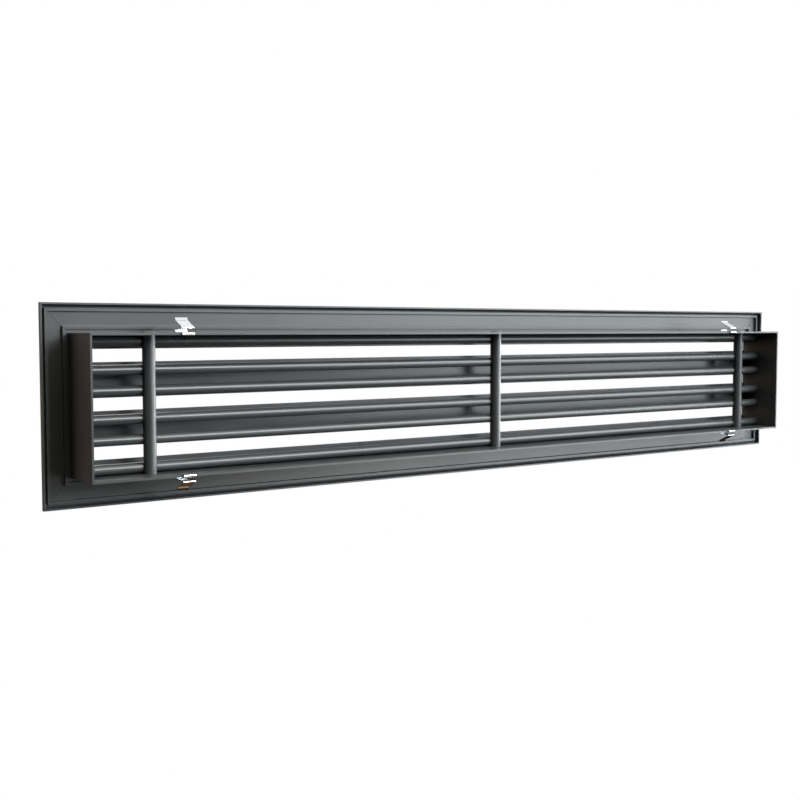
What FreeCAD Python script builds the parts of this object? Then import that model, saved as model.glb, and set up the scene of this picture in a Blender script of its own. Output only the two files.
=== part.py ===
"""Linear slot diffuser with three slots, spacer tubes and neck spring clips.

All sizes are in millimetres. +X is the length, +Y the room side, +Z up. The
origin is the centre of the neck in the wall plane, which is where the rear
edges of the flange lip seat. Four mitred extrusions make the flange and the
neck. Two channel blades and two border blades run between the neck's end
walls, the tubes cross behind them, and four folded strips clip on the neck's
rear edge. No screw shows on the neck's end walls, so the blades butt on them.
"""
import FreeCAD
import Part
import os
from math import cos, radians, sin, sqrt

Vector = FreeCAD.Vector

# Face, wall plane and neck
NECK_LENGTH = 800.0
NECK_WALL = 1.6
NECK_DEPTH = 38.9
FACE_PROJECTION = 7.2
FLANGE_OVERHANG = 22.5
MITRE_GAP = 0.15

# Flange section, from its outer edge inwards
PLATE_THICKNESS = 1.5
LIP_THICKNESS = 1.3
BEVEL_DEPTH = 3.6
BEVEL_INSET = 1.35
BEVEL_RADIUS = 0.6
LIP_ROOT_RADIUS = 2.7
OUTER_RIB_INSET = 4.1
OUTER_RIB_WIDTH = 2.2
INNER_RIB_GAP = 3.0
INNER_RIB_WIDTH = 2.0
RIB_HEIGHT = 2.7
RIB_ROOT_RADIUS = 0.6

# Slots and the blades between them
SLOT_COUNT = 3
SLOT_PITCH = 37.3
SLOT_WIDTH = 10.0
BORDER_WEB_WIDTH = 10.6
WEB_THICKNESS = 1.5
WEB_OVERHANG = 5.8
LEG_THICKNESS = 1.4
BEAD_DIAMETER = 8.0
BEAD_SETBACK = 17.75

# Spacer tubes in half-round seats behind the beads
TUBE_DIAMETER = 10.0
TUBE_SETBACK = 4.05
TUBE_SEAT_CLEARANCE = 0.1
LEFT_TUBE_INSET = 55.0
CENTRE_TUBE_OFFSET = 2.0
RIGHT_TUBE_INSET = 39.0

# Blind rivets through the neck into the tube ends
RIVET_DIAMETER = 4.8
RIVET_LENGTH = 9.0
RIVET_HEAD_DIAMETER = 9.5
RIVET_HEAD_HEIGHT = 1.1
RIVET_HOLE_CLEARANCE = 0.1

# Spring clips, each folded from one strip
CLIP_WIDTH = 10.1
CLIP_THICKNESS = 0.5
LEFT_CLIP_INSET = 76.1
RIGHT_CLIP_INSET = 80.1
CLIP_EDGE_GAP = 0.2
CLIP_LEG_LENGTH = 8.0
CLIP_BASE_LENGTH = 11.0
CLIP_FOLD_RADIUS = 0.9
CLIP_RETURN_ANGLE = 3.5
CLIP_RETURN_LENGTH = 10.6
CLIP_KNUCKLE_RADIUS = 0.35
CLIP_LEAF_ANGLE = 25.5
CLIP_LEAF_LENGTH = 11.7
CLIP_TIP_ANGLE = 36.5
CLIP_TIP_RADIUS = 0.5
CLIP_TIP_LENGTH = 2.1

# Sizes that follow from the values above
NECK_INNER_HEIGHT = (SLOT_COUNT - 1) * SLOT_PITCH + SLOT_WIDTH + 2 * BORDER_WEB_WIDTH
NECK_HEIGHT = NECK_INNER_HEIGHT + 2 * NECK_WALL
NECK_INNER_LENGTH = NECK_LENGTH - 2 * NECK_WALL
FACE_LENGTH = NECK_LENGTH + 2 * FLANGE_OVERHANG
FACE_HEIGHT = NECK_HEIGHT + 2 * FLANGE_OVERHANG
RAIL_WIDTH = FLANGE_OVERHANG + NECK_WALL
PLATE_REAR = FACE_PROJECTION - PLATE_THICKNESS
WEB_REAR = FACE_PROJECTION - WEB_THICKNESS
BEAD_Y = FACE_PROJECTION - BEAD_SETBACK
TUBE_Y = BEAD_Y - TUBE_SETBACK
TUBE_RADIUS = TUBE_DIAMETER / 2
RIVET_HOLE_RADIUS = RIVET_DIAMETER / 2 + RIVET_HOLE_CLEARANCE
TUBE_X = {
    "left": -NECK_LENGTH / 2 + LEFT_TUBE_INSET,
    "centre": CENTRE_TUBE_OFFSET,
    "right": NECK_LENGTH / 2 - RIGHT_TUBE_INSET,
}
CLIP_X = {
    "left": -NECK_LENGTH / 2 + LEFT_CLIP_INSET,
    "right": NECK_LENGTH / 2 - RIGHT_CLIP_INSET,
}


def rounded_face(corners):
    """Return a face in the Y-Z plane from (y, z, radius) corners in order."""
    points = [Vector(0, y, z) for y, z, _ in corners]
    radii = [corner[2] for corner in corners]
    edges = []
    starts, ends = [], []
    for i, point in enumerate(points):
        before = (points[i - 1] - point).normalize()
        after = (points[(i + 1) % len(points)] - point).normalize()
        if radii[i] == 0:
            starts.append(point)
            ends.append(point)
            continue
        half = before.getAngle(after) / 2
        reach = radii[i] * cos(half) / sin(half)
        middle = (before + after).normalize()
        centre = point + middle * (radii[i] / sin(half))
        starts.append(point + before * reach)
        ends.append(point + after * reach)
        crown = centre - middle * radii[i]
        edges.append(Part.Arc(starts[-1], crown, ends[-1]).toShape())
    for i, end in enumerate(ends):
        start = starts[(i + 1) % len(starts)]
        edges.append(Part.LineSegment(end, start).toShape())
    return Part.Face(Part.Wire(Part.__sortEdges__(edges)))


def along_x(face, length):
    """Return the solid of a Y-Z face drawn out along X, centred on X = 0."""
    solid = face.extrude(Vector(length, 0, 0))
    solid.translate(Vector(-length / 2, 0, 0))
    return solid


def mirrored_z(shape):
    """Return the mirror image of a shape in the plane Z = 0."""
    return shape.mirror(Vector(0, 0, 0), Vector(0, 0, 1))


def mirrored_x(shape):
    """Return the mirror image of a shape in the plane X = 0."""
    return shape.mirror(Vector(0, 0, 0), Vector(1, 0, 0))


def rail_section(edge):
    """Return the flange and neck section of a rail whose outer edge is at Z = edge."""
    outer_rib_end = OUTER_RIB_INSET + OUTER_RIB_WIDTH
    inner_rib_end = FLANGE_OVERHANG - INNER_RIB_GAP
    inner_rib_start = inner_rib_end - INNER_RIB_WIDTH
    rib_rear = PLATE_REAR - RIB_HEIGHT
    inset_corners = [
        (FACE_PROJECTION, BEVEL_INSET, BEVEL_RADIUS),
        (FACE_PROJECTION - BEVEL_DEPTH, 0, BEVEL_RADIUS),
        (0, 0, 0),
        (0, LIP_THICKNESS, 0),
        (PLATE_REAR, LIP_THICKNESS, LIP_ROOT_RADIUS),
        (PLATE_REAR, OUTER_RIB_INSET, 0),
        (rib_rear, OUTER_RIB_INSET, 0),
        (rib_rear, outer_rib_end, 0),
        (PLATE_REAR, outer_rib_end, RIB_ROOT_RADIUS),
        (PLATE_REAR, inner_rib_start, RIB_ROOT_RADIUS),
        (rib_rear, inner_rib_start, 0),
        (rib_rear, inner_rib_end, 0),
        (PLATE_REAR, inner_rib_end, 0),
        (PLATE_REAR, FLANGE_OVERHANG, 0),
        (-NECK_DEPTH, FLANGE_OVERHANG, 0),
        (-NECK_DEPTH, RAIL_WIDTH, 0),
        (FACE_PROJECTION, RAIL_WIDTH, 0),
    ]
    return rounded_face([(y, edge - inset, radius) for y, inset, radius in inset_corners])


def mitred_rail(length, edge):
    """Return a rail along X with both ends mitred at 45 degrees."""
    rail = along_x(rail_section(edge), length)
    half = length / 2 - MITRE_GAP / sqrt(2)
    inner = half - RAIL_WIDTH
    rear = -NECK_DEPTH
    outline = Part.makePolygon([
        Vector(-half, rear, edge),
        Vector(half, rear, edge),
        Vector(inner, rear, edge - RAIL_WIDTH),
        Vector(-inner, rear, edge - RAIL_WIDTH),
        Vector(-half, rear, edge),
    ])
    envelope = Part.Face(outline).extrude(Vector(0, NECK_DEPTH + FACE_PROJECTION, 0))
    return rail.common(envelope)


def leg_positions():
    """Return Z of every blade leg, from the bottom of the face to the top."""
    first_slot = -(SLOT_COUNT - 1) * SLOT_PITCH / 2
    reach = SLOT_WIDTH / 2 + WEB_OVERHANG
    legs = []
    for slot in range(SLOT_COUNT):
        centre = first_slot + slot * SLOT_PITCH
        legs += [centre - reach, centre + reach]
    return legs


def bead_leg(z):
    """Return the full-length leg of a blade with its round bead at height z."""
    half = LEG_THICKNESS / 2
    leg = rounded_face([
        (WEB_REAR, z - half, 0),
        (WEB_REAR, z + half, 0),
        (BEAD_Y, z + half, 0),
        (BEAD_Y, z - half, 0),
    ])
    start = Vector(-NECK_INNER_LENGTH / 2, BEAD_Y, z)
    bead = Part.makeCylinder(BEAD_DIAMETER / 2, NECK_INNER_LENGTH, start, Vector(1, 0, 0))
    return along_x(leg, NECK_INNER_LENGTH).fuse(bead)


def blade(bottom, top, legs):
    """Return a blade whose web spans bottom to top, with a bead on each leg."""
    web = rounded_face([
        (FACE_PROJECTION, bottom, 0),
        (WEB_REAR, bottom, 0),
        (WEB_REAR, top, 0),
        (FACE_PROJECTION, top, 0),
    ])
    solid = along_x(web, NECK_INNER_LENGTH)
    solid = solid.fuse([bead_leg(z) for z in legs]).removeSplitter()
    seat_radius = TUBE_RADIUS + TUBE_SEAT_CLEARANCE
    return solid.cut([neck_bore(seat_radius, x) for x in TUBE_X.values()])


def neck_bore(radius, x):
    """Return an upright cylinder through the whole neck on the tube axis at x."""
    base = Vector(x, TUBE_Y, -NECK_HEIGHT / 2)
    return Part.makeCylinder(radius, NECK_HEIGHT, base)


def spacer_tube(x):
    """Return a tube that stands between the upper and the lower neck wall."""
    base = Vector(x, TUBE_Y, -NECK_INNER_HEIGHT / 2)
    outside = Part.makeCylinder(TUBE_RADIUS, NECK_INNER_HEIGHT, base)
    bore = Part.makeCylinder(RIVET_HOLE_RADIUS, NECK_INNER_HEIGHT, base)
    return outside.cut(bore)


def tube_rivet(x):
    """Return the flat-headed rivet at the upper end of the tube at x."""
    seat = Vector(x, TUBE_Y, NECK_HEIGHT / 2)
    head = Part.makeCylinder(RIVET_HEAD_DIAMETER / 2, RIVET_HEAD_HEIGHT, seat)
    shank_end = seat - Vector(0, 0, RIVET_LENGTH)
    return head.fuse(Part.makeCylinder(RIVET_DIAMETER / 2, RIVET_LENGTH, shank_end))


def folded_strip(start, heading, moves):
    """Return the Y-Z face of a strip that follows a path of runs and bends.

    A move is (length,) for a straight run or (inner radius, turn) for a bend,
    with the turn in degrees from +Y towards +Z.
    """
    half = CLIP_THICKNESS / 2
    point = Vector(0, start[0], start[1])
    angle = radians(heading)

    def offset(position, direction, distance):
        return position + Vector(0, -sin(direction), cos(direction)) * distance

    edges = [Part.LineSegment(offset(point, angle, half), offset(point, angle, -half)).toShape()]
    for move in moves:
        if len(move) == 1:
            after = point + Vector(0, cos(angle), sin(angle)) * move[0]
            for side in (half, -half):
                run = Part.LineSegment(offset(point, angle, side), offset(after, angle, side))
                edges.append(run.toShape())
            point = after
            continue
        turn = radians(move[1])
        radius = (move[0] + half) * (1 if turn > 0 else -1)
        centre = offset(point, angle, radius)
        for side in (half, -half):
            arc = [offset(centre, angle + turn * part, side - radius) for part in (0, 0.5, 1)]
            edges.append(Part.Arc(*arc).toShape())
        angle += turn
        point = offset(centre, angle, -radius)
    edges.append(Part.LineSegment(offset(point, angle, half), offset(point, angle, -half)).toShape())
    return Part.Face(Part.Wire(Part.__sortEdges__(edges)))


def spring_clip(x):
    """Return the clip that grips the upper neck wall's rear edge at x."""
    inner_leg_z = NECK_INNER_HEIGHT / 2 - CLIP_THICKNESS / 2
    leg_end_y = -NECK_DEPTH + CLIP_LEG_LENGTH - CLIP_EDGE_GAP
    moves = [
        (CLIP_LEG_LENGTH,),
        (NECK_WALL / 2, -180),
        (CLIP_BASE_LENGTH,),
        (CLIP_FOLD_RADIUS, 180 - CLIP_RETURN_ANGLE),
        (CLIP_RETURN_LENGTH,),
        (CLIP_KNUCKLE_RADIUS, CLIP_RETURN_ANGLE + CLIP_LEAF_ANGLE - 180),
        (CLIP_LEAF_LENGTH,),
        (CLIP_TIP_RADIUS, CLIP_TIP_ANGLE),
        (CLIP_TIP_LENGTH,),
    ]
    face = folded_strip((leg_end_y, inner_leg_z), 180, moves)
    clip = along_x(face, CLIP_WIDTH)
    clip.translate(Vector(x, 0, 0))
    return clip


def build_pieces():
    """Return every piece of the diffuser by its node name."""
    legs = leg_positions()
    top_rail = mitred_rail(FACE_LENGTH, FACE_HEIGHT / 2)
    top_rail = top_rail.cut([neck_bore(RIVET_HOLE_RADIUS, x) for x in TUBE_X.values()])
    left_rail = mitred_rail(FACE_HEIGHT, FACE_LENGTH / 2)
    left_rail.rotate(Vector(0, 0, 0), Vector(0, 1, 0), -90)

    pieces = {
        "frame_top_rail": top_rail,
        "frame_bottom_rail": mirrored_z(top_rail),
        "frame_left_rail": left_rail,
        "frame_right_rail": mirrored_x(left_rail),
    }

    upper_border_bottom = NECK_INNER_HEIGHT / 2 - BORDER_WEB_WIDTH
    border = blade(upper_border_bottom, NECK_INNER_HEIGHT / 2, legs[-1:])
    pieces["border_blade_upper"] = border
    pieces["border_blade_lower"] = mirrored_z(border)
    names = {1: "channel_blade_lower", 2: "channel_blade_upper"}
    for gap in range(1, SLOT_COUNT):
        pair = legs[2 * gap - 1:2 * gap + 1]
        name = names.get(gap, "channel_blade_%d" % gap)
        pieces[name] = blade(pair[0] - WEB_OVERHANG, pair[1] + WEB_OVERHANG, pair)

    for side, x in TUBE_X.items():
        rivet = tube_rivet(x)
        pieces["spacer_tube_" + side] = spacer_tube(x)
        pieces["rivet_upper_" + side] = rivet
        pieces["rivet_lower_" + side] = mirrored_z(rivet)

    for side, x in CLIP_X.items():
        clip = spring_clip(x)
        pieces["clip_upper_" + side] = clip
        pieces["clip_lower_" + side] = mirrored_z(clip)
    return pieces


def main():
    """Build every piece, write it as STEP and print what was made."""
    os.makedirs("parts", exist_ok=True)
    for name, shape in build_pieces().items():
        solid = shape.Solids[0]
        if not solid.isValid() or len(shape.Solids) != 1:
            raise ValueError("%s is not one valid solid" % name)
        solid.exportStep("parts/%s.step" % name)
        box = solid.BoundBox
        print("%-22s %9.0f mm3  %6.1f x %5.1f x %5.1f" % (
            name, solid.Volume, box.XLength, box.YLength, box.ZLength))


main()
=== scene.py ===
"""Dresses a linear slot diffuser, seen from the duct side on a white ground.

The solids keep their shapes. The coated rails, blades and tubes and the plated
spring clips get their finishes, and the blind rivets get their domed heads.
"""

import logging
import math
from dataclasses import dataclass
from enum import Enum
from typing import Dict, List, Sequence, Tuple, Union

import bpy
from mathutils import Matrix, Vector


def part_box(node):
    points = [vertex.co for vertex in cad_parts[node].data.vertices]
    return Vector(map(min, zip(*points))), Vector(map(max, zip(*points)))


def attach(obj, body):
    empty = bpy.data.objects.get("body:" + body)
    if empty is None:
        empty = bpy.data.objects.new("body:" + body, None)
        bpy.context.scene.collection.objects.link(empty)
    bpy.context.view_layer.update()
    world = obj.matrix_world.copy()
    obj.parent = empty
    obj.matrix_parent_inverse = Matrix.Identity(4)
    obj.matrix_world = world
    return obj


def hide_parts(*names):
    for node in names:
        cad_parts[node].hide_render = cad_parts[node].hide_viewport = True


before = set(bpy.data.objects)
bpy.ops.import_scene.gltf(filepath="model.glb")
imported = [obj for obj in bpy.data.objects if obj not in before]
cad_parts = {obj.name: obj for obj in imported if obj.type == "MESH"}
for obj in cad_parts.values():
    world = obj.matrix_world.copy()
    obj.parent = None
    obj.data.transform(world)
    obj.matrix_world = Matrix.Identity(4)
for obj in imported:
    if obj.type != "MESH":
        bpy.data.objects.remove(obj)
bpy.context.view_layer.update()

LOG = logging.getLogger("slot_diffuser")
MM = 0.001
Point = Tuple[float, float, float]


class Slot(Enum):
    """The finishes that the part's record names."""

    FRAME = "coated_frame"
    BLADE = "coated_blade"
    TUBE = "coated_tube"
    RIVET = "coated_rivet"
    SPRING = "plated_spring"


def linear(hex_code: str) -> Tuple[float, float, float, float]:
    """Turn an sRGB hex colour into the linear colour that a shader takes.

    Args:
        hex_code: Six hex digits after a hash sign.

    Returns:
        Linear red, green, blue and an alpha of one.
    """
    channels = [int(hex_code[i:i + 2], 16) / 255 for i in (1, 3, 5)]
    values = [c / 12.92 if c <= 0.04045 else ((c + 0.055) / 1.055) ** 2.4 for c in channels]
    return (values[0], values[1], values[2], 1.0)


def add_node(tree: bpy.types.NodeTree, kind: str, settings: Dict[str, object],
             inputs: Dict[object, object]) -> bpy.types.Node:
    """Add one node, set its properties and fill or link its inputs.

    Args:
        tree: The node tree that takes the node.
        kind: The node's type name.
        settings: Property names and their values.
        inputs: Input names or numbers, each with a value or an output socket.

    Returns:
        The new node.
    """
    node = tree.nodes.new(kind)
    for name, value in settings.items():
        setattr(node, name, value)
    for name, value in inputs.items():
        if isinstance(value, bpy.types.NodeSocket):
            tree.links.new(value, node.inputs[name])
        else:
            node.inputs[name].default_value = value
    return node


def per_metre(size_mm: float) -> float:
    """Return a texture scale whose feature is size_mm across."""
    return 1.0 / (size_mm * MM)


@dataclass(frozen=True)
class PowderCoat:
    """Baked polyester powder on extruded aluminium, satin and fine-grained.

    The powder melts into a film with a slight orange peel, so highlights are
    broad and soft, and the tone drifts a little where the film is thicker.
    """

    name: str
    roughness: float
    colour: str = "#34383b"
    thin_colour: str = "#3c4144"
    roughness_drift: float = 0.03
    ior: float = 1.5
    peel_mm: float = 1.6
    peel_height_mm: float = 0.012
    cloud_mm: float = 70.0

    def build(self) -> bpy.types.Material:
        """Build the coat's material.

        Returns:
            The finished material.
        """
        material = bpy.data.materials.new(self.name)
        material.use_nodes = True
        tree = material.node_tree
        shader = tree.nodes["Principled BSDF"]
        place = add_node(tree, "ShaderNodeTexCoord", {}, {}).outputs["Object"]
        cloud = add_node(tree, "ShaderNodeTexNoise", {}, {
            "Vector": place, "Scale": per_metre(self.cloud_mm), "Detail": 3.0})
        tone = add_node(tree, "ShaderNodeMix", {"data_type": "RGBA"}, {
            "Factor": cloud.outputs["Fac"], 6: linear(self.colour), 7: linear(self.thin_colour)})
        peel = add_node(tree, "ShaderNodeTexNoise", {}, {
            "Vector": place, "Scale": per_metre(self.peel_mm), "Detail": 2.0})
        gloss = add_node(tree, "ShaderNodeMapRange", {}, {
            "Value": cloud.outputs["Fac"], "From Min": 0.3, "From Max": 0.7,
            "To Min": self.roughness - self.roughness_drift,
            "To Max": self.roughness + self.roughness_drift})
        bump = add_node(tree, "ShaderNodeBump", {}, {
            "Height": peel.outputs["Fac"], "Strength": 0.35,
            "Distance": self.peel_height_mm * MM})
        tree.links.new(tone.outputs[2], shader.inputs["Base Color"])
        tree.links.new(gloss.outputs["Result"], shader.inputs["Roughness"])
        tree.links.new(bump.outputs["Normal"], shader.inputs["Normal"])
        shader.inputs["IOR"].default_value = self.ior
        return material


@dataclass(frozen=True)
class PlatedSpring:
    """Zinc-plated spring steel strip, rolled along its length and bright.

    Rolling leaves fine lines along the strip that stretch its highlights. They
    are drawn coarser than real ones, which would be too fine to show.
    """

    name: str = "zinc_plated_spring_steel"
    colour: str = "#e6eaec"
    dull_colour: str = "#cbd0d2"
    roughness: float = 0.17
    roughness_drift: float = 0.04
    line_mm: float = 0.25
    line_depth_mm: float = 0.01
    line_stretch: float = 0.04

    def build(self) -> bpy.types.Material:
        """Build the strip's material.

        Returns:
            The finished material.
        """
        material = bpy.data.materials.new(self.name)
        material.use_nodes = True
        tree = material.node_tree
        shader = tree.nodes["Principled BSDF"]
        place = add_node(tree, "ShaderNodeTexCoord", {}, {}).outputs["Object"]
        stretch = add_node(tree, "ShaderNodeMapping", {}, {
            "Vector": place, "Scale": (1.0, self.line_stretch, self.line_stretch)})
        lines = add_node(tree, "ShaderNodeTexNoise", {}, {
            "Vector": stretch.outputs["Vector"], "Scale": per_metre(self.line_mm), "Detail": 2.0})
        tone = add_node(tree, "ShaderNodeMix", {"data_type": "RGBA"}, {
            "Factor": lines.outputs["Fac"], 6: linear(self.colour), 7: linear(self.dull_colour)})
        gloss = add_node(tree, "ShaderNodeMapRange", {}, {
            "Value": lines.outputs["Fac"],
            "To Min": self.roughness - self.roughness_drift,
            "To Max": self.roughness + self.roughness_drift})
        bump = add_node(tree, "ShaderNodeBump", {}, {
            "Height": lines.outputs["Fac"], "Strength": 0.2, "Distance": self.line_depth_mm * MM})
        tree.links.new(tone.outputs[2], shader.inputs["Base Color"])
        tree.links.new(gloss.outputs["Result"], shader.inputs["Roughness"])
        tree.links.new(bump.outputs["Normal"], shader.inputs["Normal"])
        shader.inputs["Metallic"].default_value = 1.0
        return material


def dress(node: str, slot: Slot, material: bpy.types.Material) -> None:
    """Give a node its material and report it.

    Args:
        node: The node's name.
        slot: The finish that the part's record names for the node.
        material: The finish that the node gets.
    """
    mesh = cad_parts[node].data
    mesh.materials.clear()
    mesh.materials.append(material)
    LOG.info("dressed %s, %s, in %s", node, slot.value, material.name)


@dataclass
class FlangedFrame:
    """The four mitred rails that make the flange and the neck."""

    finish: PowderCoat
    sides: Sequence[str] = ("top", "bottom", "left", "right")

    def make(self) -> None:
        """Dress the rails."""
        coat = self.finish.build()
        for side in self.sides:
            dress(f"frame_{side}_rail", Slot.FRAME, coat)


@dataclass
class BladePack:
    """The blades and the spacer tubes that cross behind them."""

    finish: PowderCoat
    tube_finish: PowderCoat
    blades: Sequence[str] = (
        "border_blade_upper", "channel_blade_upper",
        "channel_blade_lower", "border_blade_lower")
    tubes: Sequence[str] = ("spacer_tube_left", "spacer_tube_centre", "spacer_tube_right")

    def make(self) -> None:
        """Dress the blades and the tubes."""
        coat = self.finish.build()
        for name in self.blades:
            dress(name, Slot.BLADE, coat)
        tube_coat = self.tube_finish.build()
        for name in self.tubes:
            dress(name, Slot.TUBE, tube_coat)


@dataclass
class ClipSet:
    """The four folded strips that hold the neck in its opening."""

    finish: PlatedSpring

    def make(self) -> None:
        """Dress the clips."""
        steel = self.finish.build()
        for level in ("upper", "lower"):
            for side in ("left", "right"):
                dress(f"clip_{level}_{side}", Slot.SPRING, steel)


@dataclass
class BlindRivets:
    """The six blind rivets at the tubes' ends, painted over with the frame.

    A rivet is modelled once, head up, with the underside of its head at the
    origin. The head is a low dome round the hollow where the mandrel broke off.
    """

    finish: PowderCoat
    shank_radius_mm: float = 2.4
    shank_mm: float = 9.0
    tip_mm: float = 0.5
    head_mm: float = 1.1
    dome_mm: Sequence[Tuple[float, float]] = (
        (4.75, 0.0), (4.75, 0.16), (4.58, 0.42), (4.1, 0.7), (3.2, 0.95), (2.2, 1.08), (1.45, 1.1))
    hollow_mm: Sequence[Tuple[float, float]] = (
        (1.25, 1.04), (1.15, 0.5), (0.95, 0.42), (0.9, 0.6), (0.6, 0.68))
    segments: int = 48
    smooth_degrees: float = 38.0

    def model(self) -> bpy.types.Object:
        """Model one rivet, ring by ring.

        Returns:
            The rivet's object.
        """
        radius = self.shank_radius_mm
        rings = [(radius, self.tip_mm - self.shank_mm), (radius, 0.0)]
        rings += list(self.dome_mm) + list(self.hollow_mm)
        bpy.ops.object.select_all(action="DESELECT")
        bpy.ops.mesh.primitive_circle_add(
            vertices=self.segments, radius=(radius - self.tip_mm) * MM, fill_type="NGON",
            location=(0.0, 0.0, -self.shank_mm * MM))
        rivet = bpy.context.object
        bpy.ops.object.transform_apply(location=True, rotation=True, scale=True)
        bpy.ops.object.mode_set(mode="EDIT")
        bpy.ops.mesh.select_mode(type="FACE")
        bpy.ops.mesh.select_all(action="SELECT")
        last_radius, last_height = radius - self.tip_mm, -self.shank_mm
        for ring_radius, height in rings:
            bpy.ops.mesh.extrude_region_move(
                TRANSFORM_OT_translate={"value": (0.0, 0.0, (height - last_height) * MM)})
            factor = ring_radius / last_radius
            bpy.ops.transform.resize(value=(factor, factor, 1.0))
            last_radius, last_height = ring_radius, height
        bpy.ops.mesh.select_all(action="SELECT")
        bpy.ops.mesh.normals_make_consistent(inside=False)
        bpy.ops.object.mode_set(mode="OBJECT")
        bpy.ops.object.shade_smooth_by_angle(angle=math.radians(self.smooth_degrees))
        return rivet

    def make(self) -> None:
        """Put a rivet in each of the six holes."""
        pattern = self.model()
        pattern.data.materials.append(self.finish.build())
        for node in sorted(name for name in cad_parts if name.startswith("rivet_")):
            low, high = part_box(node)
            upper = (low[2] + high[2]) > 0.0
            seat = high[2] - self.head_mm * MM if upper else low[2] + self.head_mm * MM
            place = Vector(((low[0] + high[0]) / 2, (low[1] + high[1]) / 2, seat))
            turn = Matrix.Rotation(0.0 if upper else math.pi, 4, "X")
            rivet = pattern.copy()
            rivet.data = pattern.data.copy()
            rivet.name = node.replace("rivet", "blind_rivet")
            rivet.data.transform(Matrix.Translation(place) @ turn)
            bpy.context.scene.collection.objects.link(rivet)
            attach(rivet, "root")
            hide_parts(node)
            LOG.info("built %s", rivet.name)
        bpy.data.objects.remove(pattern)


@dataclass(frozen=True)
class Softbox:
    """A rectangular studio lamp that points at one spot."""

    name: str
    place: Point
    width: float
    height: float
    watts: float
    colour: str
    aim: Point = (0.0, 0.0, 0.0)

    def add(self) -> None:
        """Put the lamp in the scene."""
        data = bpy.data.lights.new(self.name, "AREA")
        data.color = linear(self.colour)[:3]
        data.shape = "RECTANGLE"
        data.size = self.width
        data.size_y = self.height
        data.energy = self.watts
        lamp = bpy.data.objects.new(self.name, data)
        bpy.context.scene.collection.objects.link(lamp)
        lamp.location = self.place
        toward = Vector(self.aim) - Vector(self.place)
        lamp.rotation_euler = toward.to_track_quat("-Z", "Y").to_euler()
        LOG.info("lamp %s", self.name)


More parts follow.
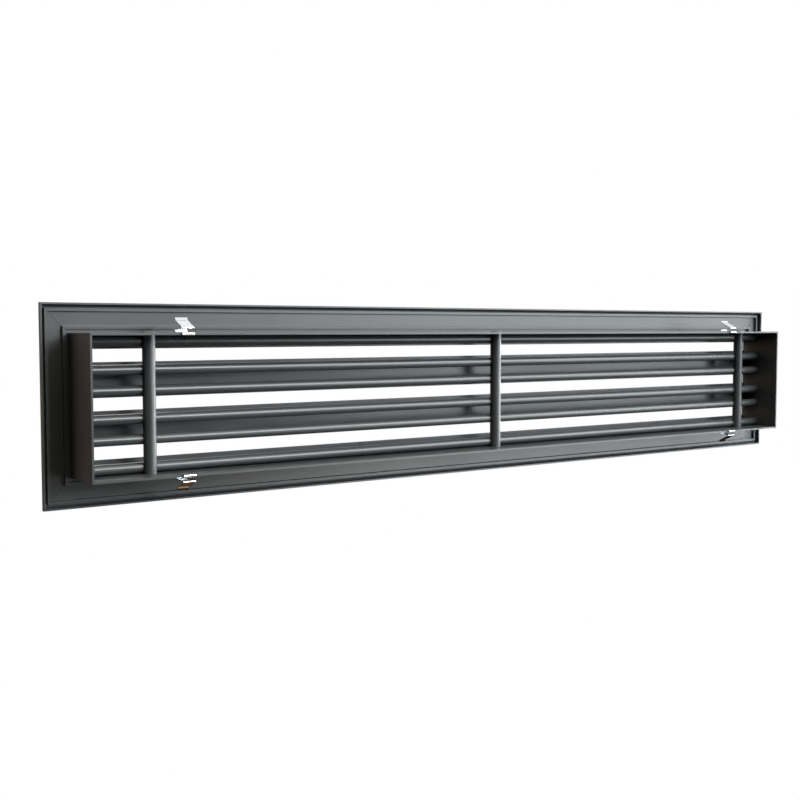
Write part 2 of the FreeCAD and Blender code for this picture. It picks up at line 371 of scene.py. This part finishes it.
@dataclass
class Studio:
    """The camera, the lamps, the floor and the room round the object.

    The camera sees the floor and the room plain white. The object is lit and mirrored by something
    else: the lamps, a dim room, and a dark floor that glows as painted light, with a copper pool
    that is a painted reflection.
    """

    eye: Point = (-0.6972, -0.8246, 0.0574)
    look: Point = (0.586418, 0.807532, -0.062492)
    lens_mm: float = 51.04
    sensor_mm: float = 36.0
    floor_drop: float = 0.85
    floor_size: float = 12.0
    # Painted light: the floor is no lamp but glows in these colours, and its copper pool is a
    # painted reflection for the lower clips.
    floor_glow_colour: str = "#1c1814"
    painted_pool_colour: str = "#cfa07c"
    pool_scale: float = 1.65
    pool_shift: Tuple[float, float] = (0.05, -0.38)
    pool_full: float = 0.45
    room_tone: float = 0.02
    room_colour: str = "#f6faff"
    warm_tone: float = 0.35
    warm_colour: str = "#ffdcb8"
    warm_side: Point = (-0.78, 0.62, -0.08)
    warm_from: float = 0.2
    warm_to: float = 0.95
    sky_from: float = 0.05
    sky_to: float = 0.35
    lamps: Sequence[Softbox] = (
        Softbox("low_window", (2.05, -2.19, 0.0), 1.45, 1.17, 30.0, "#eff9ff"),
        Softbox("high_window", (1.76, -2.18, 1.08), 1.82, 1.27, 70.0, "#fffcfa"),
        Softbox("key_box", (0.82, -2.68, 1.08), 0.75, 1.27, 49.0, "#fcfdff"),
        Softbox("right_box", (2.99, 0.0, 0.26), 2.3, 1.8, 270.0, "#ffffff"),
        Softbox("low_bounce", (1.34, -1.65, -0.57), 1.43, 0.46, 8.0, "#fff8e8"),
        Softbox("top_box", (-0.24, -1.48, 2.60), 1.9, 2.1, 54.0, "#ffebcd"),
        Softbox("face_box", (0.0, 2.40, 1.85), 2.0, 1.5, 70.0, "#fff8f0"),
        Softbox("room_bounce", (-2.16, 0.79, 1.93), 1.8, 1.8, 76.0, "#ffd5c0"),
    )

    def add_camera(self) -> None:
        """Stand the camera where the photograph was taken from."""
        data = bpy.data.cameras.new("camera")
        data.lens = self.lens_mm
        data.sensor_width = self.sensor_mm
        data.sensor_fit = "HORIZONTAL"
        data.dof.use_dof = False
        camera = bpy.data.objects.new("camera", data)
        bpy.context.scene.collection.objects.link(camera)
        camera.location = self.eye
        camera.rotation_euler = Vector(self.look).to_track_quat("-Z", "Y").to_euler()
        bpy.context.scene.camera = camera

    def whiten(self, tree: bpy.types.NodeTree, lit: bpy.types.NodeSocket,
               white: bpy.types.NodeSocket,
               glossy: Union[float, bpy.types.NodeSocket]) -> bpy.types.NodeSocket:
        """Mix a surface so that camera and transmission rays see white.

        Args:
            tree: The node tree to work in.
            lit: The shader for every other ray.
            white: The white shader.
            glossy: How much of the white a glossy ray sees, a number or a socket.

        Returns:
            The mixed shader's output.
        """
        rays = add_node(tree, "ShaderNodeLightPath", {}, {}).outputs
        shine = add_node(tree, "ShaderNodeMath", {"operation": "MULTIPLY"}, {
            0: rays["Is Glossy Ray"], 1: glossy})
        clear = add_node(tree, "ShaderNodeMath", {"operation": "MAXIMUM"}, {
            0: rays["Is Transmission Ray"], 1: shine.outputs[0]})
        seen = add_node(tree, "ShaderNodeMath", {"operation": "MAXIMUM"}, {
            0: rays["Is Camera Ray"], 1: clear.outputs[0]})
        mix = add_node(tree, "ShaderNodeMixShader", {}, {
            0: seen.outputs[0], 1: lit, 2: white})
        return mix.outputs[0]

    def add_world(self) -> None:
        """Surround the object with a dim room that the camera sees as white.

        The room is nearly dark, with a warm wall on the far left. Gloss shows
        the white ground only from a little above the horizon upward.
        """
        world = bpy.data.worlds.new("studio_white")
        bpy.context.scene.world = world
        world.use_nodes = True
        tree = world.node_tree
        tree.nodes.clear()
        way = add_node(tree, "ShaderNodeTexCoord", {}, {}).outputs["Generated"]
        axes = add_node(tree, "ShaderNodeSeparateXYZ", {}, {0: way})
        toward = add_node(tree, "ShaderNodeVectorMath", {"operation": "DOT_PRODUCT"}, {
            0: way, 1: self.warm_side})
        warm = add_node(tree, "ShaderNodeMapRange", {"interpolation_type": "SMOOTHSTEP"}, {
            "Value": toward.outputs["Value"],
            "From Min": self.warm_from, "From Max": self.warm_to})
        level = add_node(tree, "ShaderNodeMapRange", {}, {
            "Value": warm.outputs[0], "To Min": self.room_tone, "To Max": self.warm_tone})
        tint = add_node(tree, "ShaderNodeMix", {"data_type": "RGBA"}, {
            "Factor": warm.outputs[0], 6: linear(self.room_colour), 7: linear(self.warm_colour)})
        dim = add_node(tree, "ShaderNodeBackground", {}, {
            "Color": tint.outputs[2], "Strength": level.outputs[0]})
        white = add_node(tree, "ShaderNodeBackground", {}, {
            "Color": linear("#ffffff"), "Strength": 1.0})
        sky = add_node(tree, "ShaderNodeMapRange", {"interpolation_type": "SMOOTHSTEP"}, {
            "Value": axes.outputs["Z"], "From Min": self.sky_from, "From Max": self.sky_to})
        mixed = self.whiten(tree, dim.outputs[0], white.outputs[0], sky.outputs[0])
        add_node(tree, "ShaderNodeOutputWorld", {}, {"Surface": mixed})

    def add_floor(self) -> None:
        """Lay a floor well below the object that the camera sees white.

        To light and reflections on the object it glows dark brown. This is painted light from a
        surface that is no lamp. Its copper-coloured pool is a painted reflection, placed where the
        lower clips mirror it so that they show copper. It glows, so it keeps no shadow. The pool
        reaches 1 / pool_scale metres from its centre at -pool_shift / pool_scale.
        """
        bpy.ops.object.select_all(action="DESELECT")
        low = -self.floor_drop
        bpy.ops.mesh.primitive_plane_add(size=self.floor_size, location=(0.0, 0.0, low))
        floor = bpy.context.object
        floor.name = "floor"
        bpy.ops.object.transform_apply(location=True, rotation=True, scale=True)
        material = bpy.data.materials.new("glowing_brown_floor")
        material.use_nodes = True
        tree = material.node_tree
        place = add_node(tree, "ShaderNodeTexCoord", {}, {}).outputs["Object"]
        centred = add_node(tree, "ShaderNodeMapping", {}, {
            "Vector": place, "Location": (*self.pool_shift, self.pool_scale * self.floor_drop),
            "Scale": (self.pool_scale, self.pool_scale, self.pool_scale)})
        spot = add_node(tree, "ShaderNodeTexGradient", {"gradient_type": "SPHERICAL"}, {
            "Vector": centred.outputs[0]})
        pool = add_node(tree, "ShaderNodeMapRange", {"interpolation_type": "SMOOTHSTEP"}, {
            "Value": spot.outputs["Fac"], "From Max": self.pool_full})
        tone = add_node(tree, "ShaderNodeMix", {"data_type": "RGBA"}, {
            "Factor": pool.outputs[0], 6: linear(self.floor_glow_colour), 7: linear(self.painted_pool_colour)})
        # Painted light: the floor glows dark brown with a copper pool, a painted reflection that
        # the lower clips mirror.
        shader = add_node(tree, "ShaderNodeEmission", {}, {
            "Color": tone.outputs[2], "Strength": 1.0})
        glow = add_node(tree, "ShaderNodeEmission", {}, {
            "Color": linear("#ffffff"), "Strength": 1.0})
        mixed = self.whiten(tree, shader.outputs[0], glow.outputs[0], 0.0)
        tree.links.new(mixed, tree.nodes["Material Output"].inputs["Surface"])
        floor.data.materials.append(material)

    def make(self) -> None:
        """Build the studio."""
        self.add_camera()
        self.add_world()
        self.add_floor()
        for lamp in self.lamps:
            lamp.add()
        bpy.context.scene.view_settings.view_transform = "Standard"


def main() -> None:
    """Build the studio and dress the diffuser piece by piece."""
    logging.basicConfig(level=logging.INFO, format="%(message)s")
    Studio().make()
    coat = PowderCoat("satin_anthracite_powder_coat", roughness=0.32)
    blade_coat = PowderCoat("satin_anthracite_blade_coat", roughness=0.30)
    tube_coat = PowderCoat("satin_anthracite_tube_coat", roughness=0.38)
    FlangedFrame(coat).make()
    BladePack(blade_coat, tube_coat).make()
    BlindRivets(coat).make()
    ClipSet(PlatedSpring()).make()


if __name__ == "__main__":
    main()
